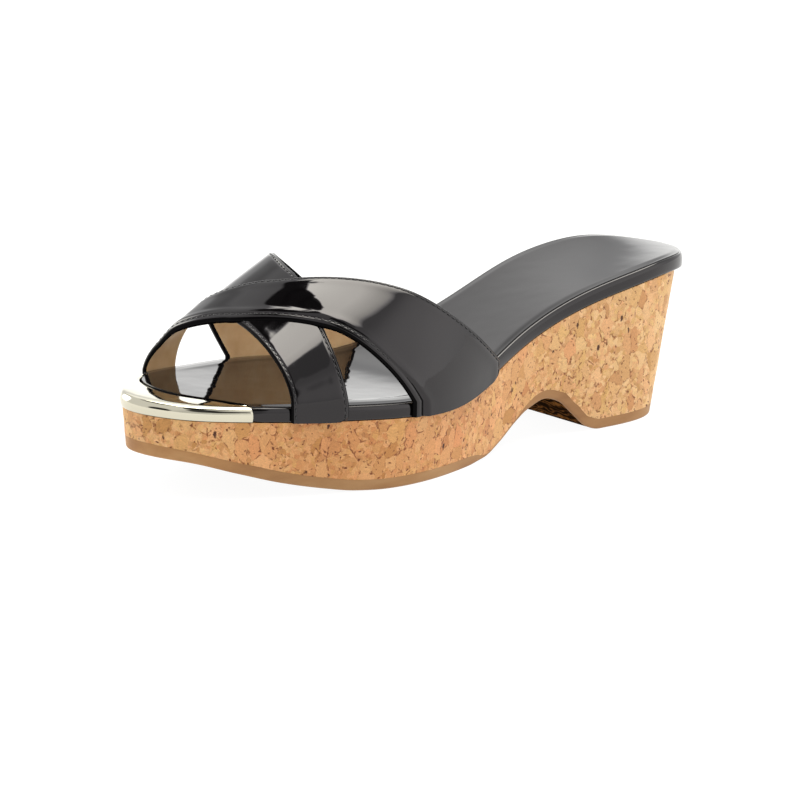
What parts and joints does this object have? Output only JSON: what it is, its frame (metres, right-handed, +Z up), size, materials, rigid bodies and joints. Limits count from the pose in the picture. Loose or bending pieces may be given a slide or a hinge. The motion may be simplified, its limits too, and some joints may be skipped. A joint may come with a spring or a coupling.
{
  "type": "wedge slide sandal",
  "caption": "Backless left wedge sandal: cork platform on a thin rubber sole, padded footbed with a bright toe plate, and broad straps that cross over the forefoot.",
  "frame": {"origin": "on the ground, under the middle of the whole shoe's box", "axes": "+Z up; +Y towards the heel, so the toe points to -Y; +X towards the wearer's left, the outer side of this left shoe"},
  "size_m": [0.0949, 0.2507, 0.0746],
  "materials": {
    "outsole": "smooth tan rubber, satin",
    "cork": "pressed granulated cork, sanded and sealed",
    "footbed": "black patent leather over padding",
    "sock": "black patent leather cover",
    "toe_plate": "polished, pale gold plated",
    "straps": "black patent leather with folded stitched edges and a tan leather lining"
  },
  "bodies": {
    "root": {"outsole": "outsole", "wedge": "cork", "footbed": "footbed", "sock": "sock", "toe_plate": "toe_plate", "upper": "straps"}
  },
  "joints": []
}
